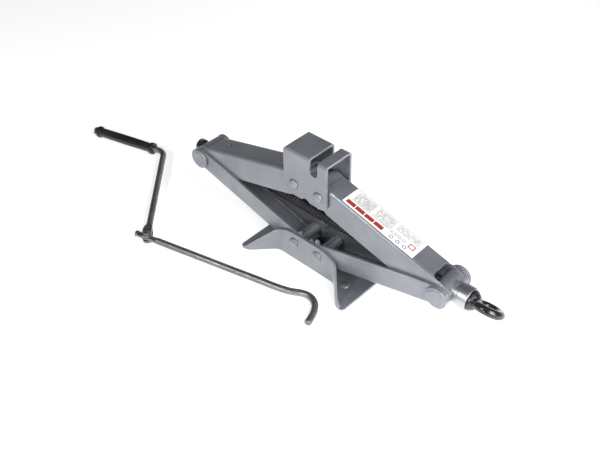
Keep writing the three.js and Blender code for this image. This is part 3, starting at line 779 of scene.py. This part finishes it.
def make_sticker_print():
    """White film with its print, set out in shares of the sticker's length and width."""
    material, nodes, links, shader = new_finish("sticker_print")
    place = nodes.new("ShaderNodeUVMap")
    place.uv_map = "print"
    split = nodes.new("ShaderNodeSeparateXYZ")
    links.new(place.outputs["UV"], split.inputs["Vector"])

    value = number_maker(nodes, links)

    def within(item, low, high):
        return value("MULTIPLY", value("GREATER_THAN", item, low), value("LESS_THAN", item, high))

    along, across = split.outputs["X"], split.outputs["Y"]

    def patch(start, stop, low, high):
        return value("MULTIPLY", within(along, start, stop), within(across, low, high))

    block = value("MULTIPLY", value("SUBTRACT", along, 0.03), 4 / 0.53)
    gaps = value("LESS_THAN", value("FRACT", block), 0.92)
    red = value("MULTIPLY", patch(0.03, 0.555, 0.07, 0.27), gaps)
    red_frame = value("SUBTRACT", patch(0.87, 0.95, 0.26, 0.52), patch(0.883, 0.937, 0.31, 0.47))
    red = value("MAXIMUM", red, red_frame)
    rows = value("MULTIPLY", across, 17.0)
    dashes = nodes.new("ShaderNodeTexNoise")
    dashes.noise_dimensions = "2D"
    dashes.inputs["Scale"].default_value = 1
    dashes.inputs["Detail"].default_value = 1
    where = nodes.new("ShaderNodeCombineXYZ")
    links.new(value("MULTIPLY", along, 60.0), where.inputs["X"])
    links.new(value("MULTIPLY", value("FLOOR", rows), 7.3), where.inputs["Y"])
    links.new(where.outputs["Vector"], dashes.inputs["Vector"])
    dash = value("GREATER_THAN", dashes.outputs["Fac"], 0.4)
    lines = value("MULTIPLY", within(value("FRACT", rows), 0.25, 0.75), dash)
    text = patch(0.06, 0.31, 0.36, 0.92)
    for corners in ((0.35, 0.6, 0.36, 0.92), (0.6, 0.82, 0.3, 0.5), (0.64, 0.95, 0.6, 0.92)):
        text = value("MAXIMUM", text, patch(*corners))
    grey = value("MULTIPLY", lines, text)
    for centre in (0.67, 0.76, 0.85):
        far_along = value("DIVIDE", value("SUBTRACT", along, centre), 0.026)
        far_across = value("DIVIDE", value("SUBTRACT", across, 0.15), 0.09)
        far = value("ADD", value("POWER", far_along, 2.0), value("POWER", far_across, 2.0))
        grey = value("MAXIMUM", grey, within(far, 0.3, 1.0))
    film = colour_node(nodes, links, (0.90, 0.895, 0.89, 1), (0.95, 0.945, 0.94, 1), 60)
    with_grey = mixed(nodes, links, film, (0.2, 0.195, 0.195, 1), grey)
    with_red = mixed(nodes, links, with_grey, (0.36, 0.035, 0.025, 1), red)
    links.new(with_red, shader.inputs["Base Color"])
    vary(nodes, links, shader.inputs["Roughness"], 0.28, 0.42, 70, 2)
    add_bump(nodes, links, shader, 120, 0.02)
    return material


def wrapped(offset):
    """Section of the film's face, which lies on the web and runs onto both of its bends."""
    line = []
    for k in range(-30, 31):
        reach = STICKER_HALF * k / 30
        past = max(0, abs(reach) - (UPPER_HALF - BEND)) / BEND
        flat = min(abs(reach), UPPER_HALF - BEND)
        line.append((math.copysign(flat + (BEND + offset) * math.sin(past), reach),
                     WEB_TOP - BEND + (BEND + offset) * math.cos(past)))
    return line


film_section = wrapped(FILM_OVER) + wrapped(FILM_UNDER)[::-1]
sticker = prism(film_section, "x", STICKER_FROM, STICKER_TO, "printed_sticker")
print_map = sticker.data.uv_layers.new(name="print")
for loop_corner in sticker.data.loops:
    corner = sticker.data.vertices[loop_corner.vertex_index].co / MM
    print_map.data[loop_corner.index].uv = ((corner.x - STICKER_FROM) / (STICKER_TO - STICKER_FROM),
                                            (corner.y + STICKER_HALF) / (2 * STICKER_HALF))
sticker.data.transform(arm_place(1, 1))
sticker_print = make_sticker_print()
finish_piece(sticker, sticker_print, "sticker_film", "upper_right", "rating_sticker")


# ---------------------------------------------------------------- crank rod
# The crank is two lengths of plated 7.5 mm rod. This one is cold-bent into a hook at one end for the
# ring eye, and flattened at the other, where the rivet goes through.

CRANK_PIVOT = pivot["crank_fold"]
ROD = 3.75
FLAT_HALF, FLAT_TO, FLAT_RUNOUT = 2, 11.2, 3
SPREAD, SPREAD_TO = 0.7, 6
rod_direction = Vector((math.cos(math.radians(15)), math.sin(math.radians(15)), 0))


def smooth_path(points, count):
    """Points spaced evenly along a smooth curve through the given ones."""
    build = bpy.data.curves.new("path", "CURVE")
    build.dimensions = "3D"
    build.resolution_u = 24
    spline = build.splines.new("BEZIER")
    spline.bezier_points.add(len(points) - 1)
    for knot, point in zip(spline.bezier_points, points):
        knot.co = point
        knot.handle_left_type = knot.handle_right_type = "AUTO"
    holder = bpy.data.objects.new("path", build)
    fine = [v.co.copy() for v in holder.to_mesh().vertices]
    holder.to_mesh_clear()
    bpy.data.objects.remove(holder)
    lengths = [0.0]
    for one, two in zip(fine, fine[1:]):
        lengths.append(lengths[-1] + (two - one).length)
    path, index = [], 0
    for k in range(count):
        goal = lengths[-1] * k / (count - 1)
        while index < len(fine) - 2 and lengths[index + 1] < goal:
            index += 1
        share = (goal - lengths[index]) / (lengths[index + 1] - lengths[index])
        path.append(fine[index].lerp(fine[index + 1], share))
    return path


def swept_rod(name, path, width, height, around=32):
    """Round rod along a path that lies nearly level; width and height give its half-sizes there."""
    build = bmesh.new()
    rings = []
    for i, point in enumerate(path):
        ahead = (path[min(i + 1, len(path) - 1)] - path[max(i - 1, 0)]).normalized()
        side = Vector((0, 0, 1)).cross(ahead).normalized()
        up = ahead.cross(side)
        ring = []
        for k in range(around):
            angle = 2 * math.pi * k / around
            offset = side * width(i, point) * math.cos(angle) + up * height(i, point) * math.sin(angle)
            ring.append(build.verts.new((point + offset) * MM))
        rings.append(ring)
    for one, two in zip(rings, rings[1:]):
        for k in range(around):
            build.faces.new((one[k], one[(k + 1) % around], two[(k + 1) % around], two[k]))
    build.faces.new(rings[0])
    build.faces.new(rings[-1])
    return shaped(name, build)


def make_plated_steel():
    """Dulled zinc plate on drawn rod: cloudy greys, faint unevenness, and patches that differ in shine."""
    material, nodes, links, shader = new_finish("plated_rod_steel", Metallic=0.9)
    vary(nodes, links, shader.inputs["Base Color"], (0.19, 0.19, 0.2, 1), (0.27, 0.27, 0.28, 1), 40, 4)
    vary(nodes, links, shader.inputs["Roughness"], 0.34, 0.46, 130, 4)
    add_bump(nodes, links, shader, 120, 0.03, 3)
    return material


def crank_rod_path():
    """The rod's middle line, from the stub past the rivet to the tip of the hook."""
    sink = (CRANK_PIVOT.z - ROD) / 208
    left = Vector((-rod_direction.y, rod_direction.x, 0))
    run = [(-15, 0), (0, 0), (40, 0), (90, 0), (140, 0), (172, 0), (184, 1.4), (194, 4.2), (204, 3.9),
           (212.5, -2), (217, -11), (218.6, -21), (219, -30)]
    knots = []
    for along, aside in run:
        drop = -sink * max(0, along - 11)
        knots.append(CRANK_PIVOT + rod_direction * along + left * aside + Vector((0, 0, drop)))
    return smooth_path(knots, 260)


def rod_half_height(point):
    """Half of the rod's thickness at a point: flattened beside the rivet, and round beyond."""
    share = min(1, max(0, ((point - CRANK_PIVOT).to_2d().length - FLAT_TO) / FLAT_RUNOUT))
    return FLAT_HALF + (ROD - FLAT_HALF) * share * share * (3 - 2 * share)


def rod_half_width(point):
    """Half of the rod's width at a point: it spreads a little where the rivet goes through."""
    return ROD + SPREAD * max(0, 1 - (point - CRANK_PIVOT).to_2d().length / SPREAD_TO)


rod_path = crank_rod_path()


def end_round(i, count):
    """Rounds off the rod's two sawn ends a little."""
    near = min(i, count - 1 - i)
    return (0.86, 0.96, 1.0)[min(near, 2)]


crank_rod = swept_rod(
    "hooked_rod", rod_path,
    lambda i, p: rod_half_width(p) * end_round(i, len(rod_path)),
    lambda i, p: rod_half_height(p) * end_round(i, len(rod_path)))
eased(crank_rod, 0.3, 50)
plated_steel = make_plated_steel()
finish_piece(crank_rod, plated_steel, "plated_rod", "crank_rod", "crank_rod")


# ---------------------------------------------------------------- crank arm
# The second length of rod. One end is upset and slotted into a fork over the flattened rod, and the
# other is bent into the spindle that the grip turns on, with its tip peened over.

grip_joint = next(joint for joint in frame["joints"] if joint["name"] == "grip_spin")
bend_point = Vector(grip_joint["pos_m"]) / MM
spindle_direction = Vector(grip_joint["axis"]).normalized()
arm_direction = (bend_point - CRANK_PIVOT).normalized()
BEND_RADIUS = 14
FORK, FORK_HALF, FORK_ROOT, PRONG_GAP = 5, 5.3, 9.3, 2.25
CRANK_RIVET = 2
SPINDLE_END = 110.6


def frame_at(point, direction):
    """Matrix from a frame with X along a straight rod to the rod's place."""
    turn = Vector((1, 0, 0)).rotation_difference(direction)
    return Matrix.Translation(point * MM) @ turn.to_matrix().to_4x4()


arm_frame = frame_at(CRANK_PIVOT, arm_direction)
spindle_frame = frame_at(bend_point, spindle_direction)


def crank_arm_path():
    """The arm's middle line: straight, round the bend, and out along the spindle."""
    turn = arm_direction.angle(spindle_direction)
    reach = BEND_RADIUS * math.tan(turn / 2)
    inner = arm_direction.cross(spindle_direction).normalized().cross(arm_direction)
    centre = bend_point - arm_direction * reach + inner * BEND_RADIUS
    path = [CRANK_PIVOT + arm_direction * (12 + k * 4) for k in range(34)]
    for k in range(17):
        angle = turn * k / 16
        across = inner * BEND_RADIUS * math.cos(angle)
        path.append(centre - across + arm_direction * BEND_RADIUS * math.sin(angle))
    last = bend_point + spindle_direction * (SPINDLE_END - 1)
    corner = path[-1]
    path += [corner.lerp(last, k / 24) for k in range(1, 25)]
    return path


def both_sides(half):
    """Outline that is the same on both sides of the rod, from (x, half-width, radius) corners."""
    return rounded([(x, -y, radius) for x, y, radius in half] + list(reversed(half)))


crank_arm = swept_rod("forked_arm", crank_arm_path(), lambda i, p: ROD, lambda i, p: ROD, 40)
fork_side = both_sides([(-5, FORK_HALF, 0.8), (9, FORK_HALF, 4), (17.5, ROD - 0.3, 0)])
fork_plan = both_sides([(-5, FORK, 4.9), (10, FORK, 4), (19, ROD, 2)])
fork = prism(fork_side, "y", -FORK, FORK)
worked(fork, prism(fork_plan, "z", -9, 9), how="INTERSECT")
fork.data.transform(arm_frame)
worked(crank_arm, fork, how="UNION")
fork_slot = prism(both_sides([(-20, PRONG_GAP, 0), (FORK_ROOT, PRONG_GAP, 0.8)]), "y", -20, 20)
rivet_hole = bar(CRANK_RIVET + PLAY, "z", around=24, low=-20, high=20)
for tool in (fork_slot, rivet_hole):
    tool.data.transform(arm_frame)
    worked(crank_arm, tool)
peen_profile = [(0, -2.6), (4.6, -2.6), (5, -1.8), (4.7, -0.9), (3.4, -0.2), (0, 0)]
peen = turned([(radius, SPINDLE_END + along) for radius, along in peen_profile], "x", around=40)
peen.data.transform(spindle_frame)
worked(crank_arm, peen, how="UNION")
eased(crank_arm, 0.4, 40)
finish_piece(crank_arm, plated_steel, "plated_rod", "crank_arm", "crank_arm")


# ---------------------------------------------------------------- crank rivet and grip washer
# A small domed rivet joins the crank's two halves so that they fold, and a pressed washer keeps the
# grip on its spindle.

GRIP_END = 104.2

upper_half = [(CRANK_RIVET, 5.35), (3.6, 5.35), (4, 5.7)]
for k in range(1, 7):
    rise = k * math.pi / 14
    upper_half.append((4 * math.cos(rise), 5.7 + 1.9 * math.sin(rise)))
upper_half.append((0, 7.6))
lower_half = [(radius, -station) for radius, station in reversed(upper_half)]
crank_rivet = turned(lower_half + upper_half, "z", CRANK_PIVOT, 40, "folding_rivet")
crank_rivet.data.shade_smooth()
finish_piece(crank_rivet, plated_steel, "plated_rod", "crank_arm", "crank_rivet")

washer_profile = [(3.9, 0.4), (5.8, 0.4), (5.8, 1.3), (4.6, 2.3), (3.9, 2.3), (3.9, 0.4)]
washer_profile = [(radius, GRIP_END + along) for radius, along in washer_profile]
grip_washer = turned(washer_profile, "x", around=48, name="spring_washer")
eased(grip_washer, 0.2)
grip_washer.data.transform(spindle_frame)
finish_piece(grip_washer, plated_steel, "plated_rod", "crank_arm", "grip_washer")


# ---------------------------------------------------------------- grip
# The grip is a moulded black plastic sleeve that turns on the spindle. It has a collar at each end
# and swells slightly in between.


def make_grip_plastic():
    """Glossy black plastic with a faint moulded grain and dulled, handled patches."""
    material, nodes, links, shader = new_finish("grip_plastic")
    vary(nodes, links, shader.inputs["Base Color"], (0.012, 0.012, 0.013, 1), (0.024, 0.024, 0.026, 1), 50)
    vary(nodes, links, shader.inputs["Roughness"], 0.14, 0.26, 90, 4)
    add_bump(nodes, links, shader, 900, 0.01)
    return material


grip_plastic = make_grip_plastic()
grip_profile = [(4.1, 15.5), (6.9, 15.5), (7.5, 16.1), (7.6, 17), (7.6, 19.2), (7.2, 20.6), (6.4, 22.2),
                (6, 24.5)]
grip_profile += [(6 + 0.35 * math.sin(math.pi * k / 12), 24.5 + k * 72 / 12) for k in range(1, 12)]
grip_profile += [(6, 97.5), (6.3, 98.9), (7.3, 99.8), (7.6, 100.6), (7.6, 103.2), (7.4, 103.9),
                 (6.9, GRIP_END), (4.1, GRIP_END), (4.1, 15.5)]
grip = turned(grip_profile, "x", around=96, name="turning_grip")
eased(grip, 0.2, 60)
grip.data.transform(spindle_frame)
finish_piece(grip, grip_plastic, "grip_plastic", "grip", "grip_sleeve")


# ---------------------------------------------------------------- floor, light and camera
# A plain pale floor, soft lights with a small one that makes the rivets glint, and a camera that
# looks down on the jack from the screw's eye end.

FLOOR_HALF = 4000

floor_corners = [(x * FLOOR_HALF, y * FLOOR_HALF) for x, y in ((-1, -1), (1, -1), (1, 1), (-1, 1))]
floor = prism(floor_corners, "z", -20, -0.05, "floor")
floor_finish = new_finish("pale_floor", Base_Color=(0.88, 0.88, 0.88, 1), Roughness=0.7,
                          Emission_Color=(1, 1, 1, 1), Emission_Strength=0.55)[0]
floor.data.materials.append(floor_finish)

world = bpy.data.worlds.new("studio")
world.use_nodes = True
sky_nodes, sky_links = world.node_tree.nodes, world.node_tree.links
sky_place = sky_nodes.new("ShaderNodeTexCoord")
sky_split = sky_nodes.new("ShaderNodeSeparateXYZ")
sky_ramp = sky_nodes.new("ShaderNodeValToRGB")
sky_ramp.color_ramp.elements[0].position = 0.0
sky_ramp.color_ramp.elements[0].color = (0.22, 0.225, 0.24, 1)
sky_ramp.color_ramp.elements[1].position = 0.3
sky_ramp.color_ramp.elements[1].color = (0.09, 0.093, 0.1, 1)
sky_links.new(sky_place.outputs["Generated"], sky_split.inputs["Vector"])
sky_links.new(sky_split.outputs["Z"], sky_ramp.inputs["Fac"])
sky_links.new(sky_ramp.outputs["Color"], sky_nodes["Background"].inputs["Color"])
bpy.context.scene.world = world


def bearing(azimuth, elevation):
    """Direction from the jack, with azimuth 0 in front of it and 90 degrees to its right."""
    a, e = math.radians(azimuth), math.radians(elevation)
    return Vector((math.sin(a) * math.cos(e), -math.cos(a) * math.cos(e), math.sin(e)))


def area_light(name, azimuth, elevation, distance, size, power):
    """Square area light that points at the middle of the jack."""
    lamp = bpy.data.lights.new(name, "AREA")
    lamp.size = size
    lamp.energy = power
    holder = placed(name, lamp)
    towards = bearing(azimuth, elevation)
    holder.location = towards * distance
    holder.rotation_euler = towards.to_track_quat("Z", "Y").to_euler()


area_light("key_light", 72, 30, 0.8, 0.4, 5.2)
area_light("front_light", -14, 38, 1.6, 0.3, 8)
area_light("spark_light", 8, 24, 1.6, 0.06, 3)
area_light("right_light", 100, 50, 1.6, 0.6, 9)
area_light("back_light", 215, 8, 1.6, 0.8, 3)

AZIMUTH, ELEVATION, ROLL = 44, 40.82, math.radians(-1.44)
DISTANCE = 0.8377
AIM, AIM_SHIFT = Vector((0, 0, 0.07)), (0.01891, 0.01935)
back = bearing(AZIMUTH, ELEVATION)
level_right = Vector((math.cos(math.radians(AZIMUTH)), math.sin(math.radians(AZIMUTH)), 0))
level_up = back.cross(level_right)
right = level_right * math.cos(ROLL) + level_up * math.sin(ROLL)
up = level_up * math.cos(ROLL) - level_right * math.sin(ROLL)
camera_data = bpy.data.cameras.new("camera")
camera_data.lens = 48.13
camera_data.sensor_width = 36
camera = placed("camera", camera_data)
stand = AIM - right * AIM_SHIFT[0] - up * AIM_SHIFT[1] + back * DISTANCE
camera.matrix_world = Matrix.Translation(stand) @ Matrix((right, up, back)).transposed().to_4x4()
bpy.context.scene.camera = camera
bpy.context.scene.view_settings.view_transform = "Standard"
